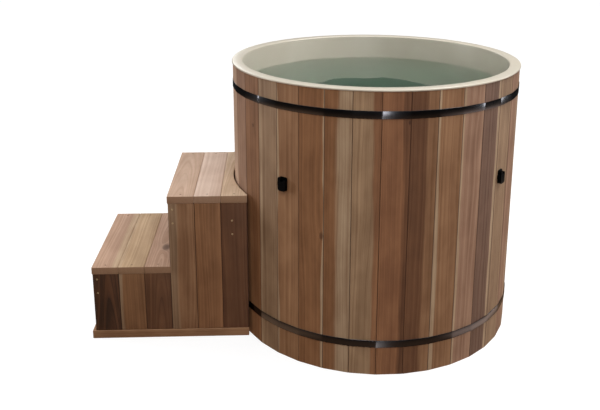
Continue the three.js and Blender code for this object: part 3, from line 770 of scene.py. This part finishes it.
def add_ear(bm, side, low, high):
    """A lug on the end of a band, standing out from the stave, with its bolt hole."""
    height = high - low
    tip = EAR_LENGTH - EAR_ROUNDING
    outline = [
        (0, 0),
        *arc(tip, EAR_ROUNDING, EAR_ROUNDING, -1, 0, 6),
        *arc(tip, height - EAR_ROUNDING, EAR_ROUNDING, 0, 1, 6),
        (0, height),
    ]
    hole = arc(BOLT_STANDOFF, height / 2, BOLT_RADIUS + BOLT_CLEARANCE, 0, 4, 24)[:-1]
    near = HOOP_OPENING / 2 if side > 0 else -HOOP_OPENING / 2 - EAR_THICKNESS
    turned = Matrix(((1, 0, 0, 0), (0, 0, -1, EAR_THICKNESS), (0, 1, 0, 0), (0, 0, 0, 1)))
    matrix = stave_frame(HOOP_STAVE, APOTHEM + FIT, near, low) @ turned
    slab(bm, outline, EAR_THICKNESS, EAR_EASE, matrix, [hole], segments=2)


def hexagon(radius):
    """Corners of a bolt head or a nut."""
    return [(radius * math.cos(a), radius * math.sin(a)) for a in (math.pi / 3 * i for i in range(6))]


def make_bolt(level, height):
    """Hexagon head, washers, nut and threaded shank through both ears."""
    grip = HOOP_OPENING / 2 + EAR_THICKNESS + FIT
    along = Matrix.Rotation(-math.pi / 2, 4, "X")
    matrix = stave_frame(HOOP_STAVE, APOTHEM + FIT + BOLT_STANDOFF, 0, height) @ along
    bm = bmesh.new()
    for start in (grip + WASHER, -grip - BOLT_HEAD_HEIGHT):
        place = matrix @ Matrix.Translation((0, 0, start))
        slab(bm, hexagon(BOLT_HEAD_RADIUS), BOLT_HEAD_HEIGHT - WASHER, BOLT_EASE, place, segments=2)
    ring = rectangle(BOLT_RADIUS, 0, BOLT_HEAD_RADIUS, WASHER)
    for start in (grip, -grip - WASHER):
        lathe(bm, ring, 32, matrix @ Matrix.Translation((0, 0, start)), closed=True)
    add_thread(bm, -grip - BOLT_HEAD_HEIGHT - BOLT_TAIL, grip + WASHER, matrix)
    piece(f"{level}_draw_bolt", bm, bolt_steel, "tub", [f"{level}_hoop_bolt"], crease=50)


def add_thread(bm, start, end, matrix):
    """A shank whose ridge climbs one pitch in each turn."""
    rows = []
    count = round((end - start) / THREAD_PITCH * THREAD_STEPS)
    for step in range(count + 1):
        z = start + (end - start) * step / count
        row = []
        for i in range(THREAD_SIDES):
            turn = i / THREAD_SIDES
            ridge = abs(2 * ((z / THREAD_PITCH - turn) % 1) - 1)
            radius = BOLT_RADIUS - THREAD_DEPTH * ridge
            angle = 2 * math.pi * turn
            point = Vector((radius * math.cos(angle), radius * math.sin(angle), z))
            row.append(bm.verts.new(matrix @ point))
        rows.append(row)
    for row, following in zip(rows, rows[1:]):
        bridge(bm, row, following)
    bm.faces.new(rows[0])
    bm.faces.new(rows[-1])


# Drain


def upright(reach, height=0.0):
    """A frame on the pipe's axis line at a distance from the tub's axis, with Z up."""
    return stave_frame(DRAIN_STAVE, reach, 0, height)


def make_strainer():
    """Flange with a dished hole, crossed by three bars."""
    low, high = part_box("drain_strainer")
    seat = high.z - STRAINER_THICKNESS
    rounding = STRAINER_ROUNDING
    outline = [
        (PIPE_BORE, low.z),
        (PIPE_RADIUS, low.z),
        (PIPE_RADIUS, seat),
        (STRAINER_RADIUS, seat),
        *arc(STRAINER_RADIUS - rounding, seat + rounding, rounding, 0, 1, 4),
        (PIPE_BORE + DISH_WIDTH, high.z),
        (PIPE_BORE, high.z - DISH_DEPTH),
    ]
    bm = bmesh.new()
    lathe(bm, outline, 64, upright(DRAIN_REACH), closed=True)
    for share in (-2 / 3, 0, 2 / 3):
        middle = share * PIPE_BORE
        half = math.sqrt(PIPE_BORE**2 - middle**2) + BAR_SEATING
        bar = rectangle(-half, middle - BAR_WIDTH / 2, half, middle + BAR_WIDTH / 2)
        slab(bm, bar, BAR_THICKNESS, BAR_EASE, upright(DRAIN_REACH, high.z - BAR_DROP))
    piece("drain_strainer_plate", bm, grey_plastic, "tub", ["drain_strainer"])


def socket_outline(near, far):
    """A socket between two places on the run, with eased ends."""
    side = SOCKET_RADIUS - PLASTIC_EASE
    first = arc(side, near + PLASTIC_EASE, PLASTIC_EASE, -1, 0, 4)
    return first + arc(side, far - PLASTIC_EASE, PLASTIC_EASE, 0, 1, 4)


def run_outline():
    """Pipe, sockets, valve body and hose spigot on one axis, as radius and distance from the tub's axis."""
    valve = VALVE_START + SOCKET_LENGTH
    valve_end = valve + VALVE_LENGTH
    spigot = valve_end + SOCKET_LENGTH
    end = spigot + SPIGOT_LENGTH
    body = VALVE_RADIUS - VALVE_SHOULDER
    rim = SPIGOT_RADIUS - SPIGOT_RECESS
    outline = [(0, DRAIN_REACH), (PIPE_RADIUS, DRAIN_REACH), (PIPE_RADIUS, VALVE_START)]
    outline += socket_outline(VALVE_START, valve)
    outline += arc(body, valve + VALVE_SHOULDER, VALVE_SHOULDER, -0.6, 0, 6)
    outline += arc(body, valve_end - VALVE_SHOULDER, VALVE_SHOULDER, 0, 0.6, 6)
    outline += socket_outline(valve_end, spigot)
    outline.append((SPIGOT_RADIUS, spigot))
    barb = SPIGOT_LENGTH / (BARB_COUNT + 1)
    for index in range(1, BARB_COUNT + 1):
        start = spigot + index * barb
        outline.append((SPIGOT_RADIUS, start))
        outline.append((SPIGOT_RADIUS + BARB_HEIGHT, start + BARB_STEP))
        outline.append((SPIGOT_RADIUS, start + BARB_RUN * barb))
    outline += [(SPIGOT_RADIUS, end), (rim, end)]
    outline += [(rim, end - SPIGOT_BORE_DEPTH), (0, end - SPIGOT_BORE_DEPTH)]
    return outline


def make_pipework():
    """The run to the valve, the bend under the strainer, and the bonnet that holds the stem."""
    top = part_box("floor_platform")[0].z + BEARER_HEIGHT - FIT
    socket = [
        *arc(0, PIPE_RISE, SOCKET_RADIUS, -1, 0, 12),
        (SOCKET_RADIUS, top),
        (PIPE_RADIUS, top),
        (PIPE_RADIUS, PIPE_RISE),
        (0, PIPE_RISE),
    ]
    bonnet = [
        (0, PIPE_RISE),
        (COLLAR_RADIUS, PIPE_RISE),
        (COLLAR_RADIUS, COLLAR_TOP),
        (BONNET_RADIUS, BONNET_FOOT),
        *arc(BONNET_RADIUS - PLASTIC_EASE, BONNET_TOP - PLASTIC_EASE, PLASTIC_EASE, 0, 1, 4),
        (STEM_RADIUS, BONNET_TOP),
        (STEM_RADIUS, BONNET_TOP + STEM_HEIGHT),
        (0, BONNET_TOP + STEM_HEIGHT),
    ]
    bm = bmesh.new()
    lathe(bm, run_outline(), 64, upright(0, PIPE_RISE) @ Matrix.Rotation(math.pi / 2, 4, "Y"))
    lathe(bm, socket, 48, upright(DRAIN_REACH))
    lathe(bm, bonnet, 40, upright(VALVE_MIDDLE))
    piece("drain_valve", bm, grey_plastic, "tub", ["drain_pipework"])


def make_lever():
    """A hub that fits over the stem, and a handle with a round end."""
    seat = BONNET_TOP + FIT
    hub = [
        (STEM_RADIUS + FIT, 0),
        (LEVER_HUB_RADIUS, 0),
        *arc(LEVER_HUB_RADIUS - PLASTIC_EASE, LEVER_HUB_HEIGHT - PLASTIC_EASE, PLASTIC_EASE, 0, 1, 4),
        (0, LEVER_HUB_HEIGHT),
        (0, STEM_HEIGHT + FIT),
        (STEM_RADIUS + FIT, STEM_HEIGHT + FIT),
    ]
    round_end = LEVER_WIDTH / 2
    neck = LEVER_NECK / 2
    tip = arc(0, round_end - LEVER_LENGTH, round_end, 2, 4, 16)
    outline = [(neck, 0), *reversed(tip), (-neck, 0)]
    lift = seat + LEVER_HUB_HEIGHT - LEVER_THICKNESS - LEVER_DROP
    bm = bmesh.new()
    lathe(bm, hub, 48, upright(VALVE_MIDDLE, seat), closed=True)
    slab(bm, outline, LEVER_THICKNESS, PLASTIC_EASE, upright(VALVE_MIDDLE, lift))
    piece("drain_lever_handle", bm, red_plastic, "valve_lever", ["drain_lever"])
    top = upright(VALVE_MIDDLE, seat + LEVER_HUB_HEIGHT)
    screw("drain_lever_screw", top, "valve_lever", bolt_steel, LEVER_SCREW_SIZE)


def screw(name, matrix, body, material, size=1.0):
    """A domed head with a cross recess, seated on the frame's XY plane."""
    radius = SCREW_RADIUS * size
    height = SCREW_DOME * radius
    angles = [math.pi / 2 * i / 10 for i in range(10)]
    dome = [(radius * math.cos(a), height * math.sin(a)) for a in angles]
    bm = bmesh.new()
    lathe(bm, [(0, -height), (radius, -height), *dome, (0, height)], 40)
    for vertex in bm.verts:
        beside = min(abs(vertex.co.x), abs(vertex.co.y))
        in_cross = beside < CROSS_HALF_WIDTH * radius and vertex.co.xy.length < CROSS_REACH * radius
        if vertex.co.z > 0 and in_cross:
            vertex.co.z -= CROSS_DEPTH * height
    bmesh.ops.transform(bm, matrix=matrix, verts=bm.verts)
    piece(name, bm, material, body, crease=45)


# Steps

side_low, side_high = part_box("front_side")
side_face = -side_low.y
upper_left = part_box("upper_riser")[0].x
upper_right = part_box("upper_tread_3")[1].x
lower_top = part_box("lower_riser")[1].z
scribe = APOTHEM / math.cos(HALF_PITCH) + STEP_STANDOFF

# Upper treads paler than the lower ones: partly the wood, partly painted top light and sheen above and
# painted shade below.
TREADS = {
    "lower_tread_1": Look("dun", "straight", 0.026),
    "lower_tread_2": Look("honey", "straight", -0.008),
    "lower_tread_3": Look("dun", "arched", 0.0, ((0.011, -0.086, 0.015),)),
    "upper_tread_1": Look("fawn", "flat"),
    "upper_tread_2": Look("pale"),
    "upper_tread_3": Look("sand", "arched"),
}
LOWER_SIDE = [
    Look("bark", "arched"),
    Look("brown", "straight", -0.016, (), "straw"),
    Look("walnut", "arched"),
]
UPPER_SIDE = [
    Look("tan", "straight", -0.030, (), "straw"),
    Look("hazel"),
    Look("umber", "rift"),
]
SIDE_LEVELS = [  # name, left and right end, top and boards
    ("lower", side_low.x, upper_left, lower_top, LOWER_SIDE),
    ("upper", upper_left, upper_right, side_high.z, UPPER_SIDE),
]
LOWER_RISER = [
    Look("brown"),
    Look("tan", "flat"),
    Look("red"),
]
UPPER_RISER = [
    Look("tan"),
    Look("brown", "flat"),
    Look("red"),
    Look("tan", "rift"),
    Look("pink"),
    Look("brown"),
]
CLEAT = Look("brown")
BASE = Look("tan", "rift")

# Seeds of the first board of each kind. The staves have 1 to 36.
TREAD_SEED = 40
SIDE_SEED = 50
CLEAT_SEED = 70
RISER_SEED = 80
BASE_SEED = 95


def notched(x, y0, y1):
    """Plan points of a right edge that is cut round the tub, between two places across the steps."""
    steps = 40
    places = [y0 + (y1 - y0) * i / steps for i in range(steps + 1)]
    return [(min(x, -math.sqrt(scribe**2 - y**2)), y) for y in places]


def plank(name, node, outline, bottom, height, wood, rounding=JOINT_ROUNDING):
    """A board with an outline in plan, which stands in for a node of the steps."""
    bm = bmesh.new()
    slab(bm, outline, height, rounding, Matrix.Translation((0, 0, bottom)))
    piece(name, bm, wood, "steps", [node])


def make_tread(node, look, seed):
    """One board of a tread, with a screw near each end. The last upper one is cut round the tub."""
    low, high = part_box(node)
    x0, x1 = low.x - TREAD_GROWTH, high.x + TREAD_GROWTH
    outline = rectangle(x0, low.y, x1, high.y)
    if node == "upper_tread_3":
        outline = [(x0, low.y), *notched(high.x, low.y, high.y), (x0, high.y)]
    middle = Vector(((low.x + high.x) / 2, 0, high.z))
    board = axes_frame(middle, UP, (1, 0, 0), (0, 1, 0))
    wood = cedar(node, board, x1 - x0, look, seed, seam_shade=0.0)
    plank(f"{node}_board", node, outline, low.z, high.z - low.z, wood, TREAD_ROUNDING)
    for end, y in (("front", low.y + SCREW_INSET), ("rear", high.y - SCREW_INSET)):
        place = Matrix.Translation((middle.x, y, high.z - SCREW_SINK))
        screw(f"{node}_screw_{end}", place, "steps", bronze_steel)


def make_side(name, front):
    """Upright boards of one side, with the cleats that carry the treads inside them."""
    node = f"{name}_side"
    face = -side_face if front else side_face
    y0, y1 = (face, face + BOARD_THICKNESS) if front else (face - BOARD_THICKNESS, face)
    out = Vector((0, -1 if front else 1, 0))
    across = UP.cross(out)
    seed = SIDE_SEED if front else SIDE_SEED + 2 * TREAD_BOARDS
    for level, left, right, top, looks in SIDE_LEVELS:
        pitch = (right - left) / TREAD_BOARDS
        for index, look in enumerate(looks):
            x0 = left + index * pitch + JOINT_GAP / 2
            x1 = x0 + pitch - JOINT_GAP
            outline = rectangle(x0, y0, x1, y1)
            if level == "upper" and index == TREAD_BOARDS - 1:
                outline = [(x0, y0), *notched(x1, y0, y1), (x0, y1)]
            board = axes_frame(Vector(((x0 + x1) / 2, face, 0)), out, across, UP)
            wood = cedar(f"{node}_{level}_{index + 1}", board, x1 - x0, look, seed)
            height = top - side_low.z
            plank(f"{node}_{level}_board_{index + 1}", node, outline, side_low.z, height, wood)
            seed += 1
        near, far = (y1, y1 + CLEAT_WIDTH) if front else (y0 - CLEAT_WIDTH, y0)
        start = left + BOARD_THICKNESS + FIT
        outline = [(start, near), *notched(right, near, far), (start, far)]
        board = axes_frame(Vector((start, near, top)), UP, across, UP.cross(across))
        wood = cedar(f"{node}_{level}_cleat", board, CLEAT_WIDTH, CLEAT, CLEAT_SEED)
        bottom = top - CLEAT_HEIGHT
        plank(f"{node}_{level}_cleat", node, outline, bottom, CLEAT_HEIGHT, wood)


def make_riser(level, looks):
    """Level boards of a riser, from the base up. The top one is cut to what is left."""
    node = f"{level}_riser"
    low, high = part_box(node)
    outline = rectangle(low.x, low.y, high.x, high.y)
    for index in range(math.ceil((high.z - low.z) / BOARD_WIDTH)):
        z0 = low.z + index * BOARD_WIDTH + JOINT_GAP / 2
        z1 = min(low.z + (index + 1) * BOARD_WIDTH, high.z) - JOINT_GAP / 2
        look = looks[index]
        board = axes_frame(Vector((low.x, 0, (z0 + z1) / 2)), (-1, 0, 0), UP, (0, 1, 0))
        wood = cedar(f"{node}_{index + 1}", board, BOARD_WIDTH, look, RISER_SEED + index)
        plank(f"{node}_board_{index + 1}", node, outline, z0, z1 - z0, wood)


def make_base():
    """Mitred ring of flat boards, with the one at the tub cut round."""
    low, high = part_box("step_base")
    x0, x1 = low.x + BASE_WIDTH, -scribe - BASE_WIDTH
    y0, y1 = low.y + BASE_WIDTH, high.y - BASE_WIDTH
    boards = {  # outline and direction of the grain
        "left": ([(low.x, low.y), (x0, y0), (x0, y1), (low.x, high.y)], (0, 1, 0)),
        "front": ([(low.x, low.y), *notched(high.x, low.y, y0), (x0, y0)], (1, 0, 0)),
        "rear": ([(low.x, high.y), (x0, y1), *notched(high.x, y1, high.y)], (1, 0, 0)),
        "right": ([(x1, y0), *notched(high.x, y0, y1), (x1, y1)], (0, 1, 0)),
    }
    for index, (name, (outline, along)) in enumerate(boards.items()):
        middle = sum((Vector((x, y, high.z)) for x, y in outline), Vector()) / len(outline)
        board = axes_frame(middle, UP, Vector(along).cross(UP), along)
        wood = cedar(f"step_base_{name}", board, BASE_WIDTH, BASE, BASE_SEED + index, seam_shade=0.0)
        height = high.z - low.z
        plank(f"step_base_{name}_board", "step_base", outline, low.z, height, wood)


def make_side_screws():
    """Pairs of screw heads on both sides: one pair over each riser, and one on the last board."""
    last = upper_right - (upper_right - upper_left) / TREAD_BOARDS
    pairs = [  # name, place along the steps, top of the boards and distances below it
        ("lower", side_low.x + 0.015, lower_top, (0.0195, 0.0715)),
        ("upper", upper_left + 0.015, side_high.z, (0.0215, 0.072)),
        ("post", last + 0.038, side_high.z, (0.065, 0.1155)),
    ]
    for side, turn in (("front", 1), ("rear", -1)):
        upright_face = Matrix.Rotation(turn * math.pi / 2, 4, "X")
        for name, x, top, drops in pairs:
            for index, drop in enumerate(drops):
                place = Matrix.Translation((x, -turn * (side_face - SCREW_SINK), top - drop))
                screw(f"{side}_{name}_screw_{index + 1}", place @ upright_face, "steps", screw_steel)


dress_staves()
make_liner()
make_water()
make_hoop("upper")
make_hoop("lower")
for number in range(1, 5):
    dress(f"strap_receiver_{number}", black_plastic, RECEIVER_EASE)
dress("floor_platform", softwood())
make_strainer()
make_pipework()
make_lever()
for seed, (node, look) in enumerate(TREADS.items(), TREAD_SEED):
    make_tread(node, look, seed)
make_side("front", True)
make_side("rear", False)
make_riser("lower", LOWER_RISER)
make_riser("upper", UPPER_RISER)
make_base()
make_side_screws()


# Studio

FLOOR_HALF = 40.0
FLOOR_DROP = 0.0004
FLOOR_GLOW = 0.79


def make_floor():
    """Pale floor that glows a little, so it shows white up to the part's own shadow."""
    bm = bmesh.new()
    corners = rectangle(-FLOOR_HALF, -FLOOR_HALF, FLOOR_HALF, FLOOR_HALF)
    bm.faces.new([bm.verts.new((x, y, -FLOOR_DROP)) for x, y in corners])
    g = Graph("floor_paint")
    clouds = g.noise(g.place, (1.3, 1.3, 1.3), 1, detail=3)
    colour = g.mix(clouds, linear(150, 150, 150), linear(152, 152, 152))
    mesh = bpy.data.meshes.new("floor")
    bm.to_mesh(mesh)
    bm.free()
    paint = g.finish(
        Base_Color=colour,
        Roughness=0.9,
        Specular_IOR_Level=0.1,
        Emission_Color=(1, 1, 1, 1),
        Emission_Strength=FLOOR_GLOW,
    )
    mesh.materials.append(paint)
    floor = bpy.data.objects.new("floor", mesh)
    bpy.context.scene.collection.objects.link(floor)
    floor.visible_diffuse = False
    floor.visible_glossy = False


LIGHTS = [  # name, degrees round from the front to the right, distance, height, width and height, power
    ("front", 4, 4.0, 1.15, (0.30, 2.2), 21),
    ("front_top", -8, 2.7, 3.0, (1.4, 1.0), 27),
    ("left", -101, 4.0, 1.15, (0.2, 1.4), 48),
    ("right", 77, 4.0, 1.15, (0.3, 2.2), 26),
    ("right_back", 104, 4.0, 1.15, (0.3, 2.2), 19),
    ("right_top", 86, 1.4, 3.2, (1.0, 1.0), 42),
    ("tread_sheen", -161, 4.2, 2.2, (1.2, 1.2), 15),
]
LIGHT_AIM = Vector((0, 0, 0.6))


def soft_light(name, round_right, distance, height, size, power):
    """A soft box that faces the middle of the part and that the camera doesn't see."""
    light = bpy.data.lights.new(name, "AREA")
    light.shape = "RECTANGLE"
    light.size, light.size_y = size
    light.energy = power
    made = bpy.data.objects.new(name, light)
    made.location = (*direction(math.radians(round_right) - math.pi / 2) * distance, height)
    made.rotation_mode = "QUATERNION"
    made.rotation_quaternion = (LIGHT_AIM - made.location).to_track_quat("-Z", "Y")
    made.visible_camera = False
    bpy.context.scene.collection.objects.link(made)


SKY = [  # height on the unit sphere, and light
    (-1.0, (0.02, 0.02, 0.02)),
    (-0.30, (0.02, 0.02, 0.02)),
    (0.66, (0.03, 0.03, 0.03)),
    (0.80, (1.6, 1.6, 1.6)),
    (1.0, (1.6, 1.6, 1.6)),
]
GROUND = [  # place from left to right on the unit sphere, and light
    (-1.0, (0.80, 0.49, 0.29)),
    (-0.78, (0.80, 0.49, 0.29)),
    (-0.62, (0.24, 0.14, 0.08)),
    (-0.02, (0.24, 0.14, 0.08)),
    (0.01, (2.2, 2.0, 1.85)),  # a strip that shows in the lower hoop
    (0.07, (2.2, 2.0, 1.85)),
    (0.14, (0.24, 0.14, 0.08)),
    (0.70, (0.24, 0.14, 0.08)),
    (0.86, (2.0, 1.45, 1.15)),
    (1.0, (2.0, 1.45, 1.15)),
]
HORIZON = (-0.30, -0.42)  # heights on the unit sphere between which the sky gives way to the ground
BACKDROP = (1.0, 1.0, 1.0, 1)


def add_ramp(tree, place, stops):
    """Colours along a place that runs from -1 to 1."""
    share = tree.nodes.new("ShaderNodeMapRange")
    share.inputs["From Min"].default_value = -1.0
    ramp = tree.nodes.new("ShaderNodeValToRGB")
    tree.links.new(place, share.inputs["Value"])
    tree.links.new(share.outputs[0], ramp.inputs[0])
    while len(ramp.color_ramp.elements) < len(stops):
        ramp.color_ramp.elements.new(0.5)
    for element, (at, light) in zip(ramp.color_ramp.elements, stops):
        element.position = (at + 1) / 2
        element.color = (*light, 1)
    return ramp.outputs[0]


def make_world():
    """Bright overhead, dark round the horizon and warm from below.

    The camera sees a plain backdrop instead.
    """
    world = bpy.data.worlds.new("studio")
    bpy.context.scene.world = world
    world.use_nodes = True
    tree = world.node_tree
    coords = tree.nodes.new("ShaderNodeTexCoord")
    split = tree.nodes.new("ShaderNodeSeparateXYZ")
    below = tree.nodes.new("ShaderNodeMapRange")
    room = tree.nodes.new("ShaderNodeMix")
    path = tree.nodes.new("ShaderNodeLightPath")
    backdrop = tree.nodes.new("ShaderNodeBackground")
    mix = tree.nodes.new("ShaderNodeMixShader")
    room.data_type = "RGBA"
    below.inputs["From Min"].default_value, below.inputs["From Max"].default_value = HORIZON
    backdrop.inputs["Color"].default_value = BACKDROP
    tree.links.new(coords.outputs["Generated"], split.inputs[0])
    tree.links.new(split.outputs["Z"], below.inputs["Value"])
    tree.links.new(below.outputs[0], room.inputs[0])
    tree.links.new(add_ramp(tree, split.outputs["Z"], SKY), room.inputs[6])
    tree.links.new(add_ramp(tree, split.outputs["X"], GROUND), room.inputs[7])
    tree.links.new(room.outputs[2], tree.nodes["Background"].inputs["Color"])
    tree.links.new(path.outputs["Is Camera Ray"], mix.inputs[0])
    tree.links.new(tree.nodes["Background"].outputs[0], mix.inputs[1])
    tree.links.new(backdrop.outputs[0], mix.inputs[2])
    tree.links.new(mix.outputs[0], tree.nodes["World Output"].inputs["Surface"])


CAMERA_PLACE = (-0.3715, -2.7765, 1.5016)
CAMERA_PITCH = math.radians(14.664)  # downwards
CAMERA_YAW = math.radians(2.127)  # to the right
CAMERA_LENS = 47.02
CAMERA_SHIFT = -0.16
SENSOR_WIDTH = 36.0


def make_camera():
    """The photograph's view."""
    data = bpy.data.cameras.new("camera")
    data.sensor_width = SENSOR_WIDTH
    data.lens = CAMERA_LENS
    data.shift_y = CAMERA_SHIFT
    camera = bpy.data.objects.new("camera", data)
    camera.location = CAMERA_PLACE
    level = math.cos(CAMERA_PITCH)
    ahead = Vector((math.sin(CAMERA_YAW) * level, math.cos(CAMERA_YAW) * level, -math.sin(CAMERA_PITCH)))
    camera.rotation_mode = "QUATERNION"
    camera.rotation_quaternion = ahead.to_track_quat("-Z", "Y")
    bpy.context.scene.collection.objects.link(camera)
    bpy.context.scene.camera = camera


make_floor()
make_world()
make_camera()
for settings in LIGHTS:
    soft_light(*settings)
bpy.context.scene.view_settings.view_transform = "Standard"
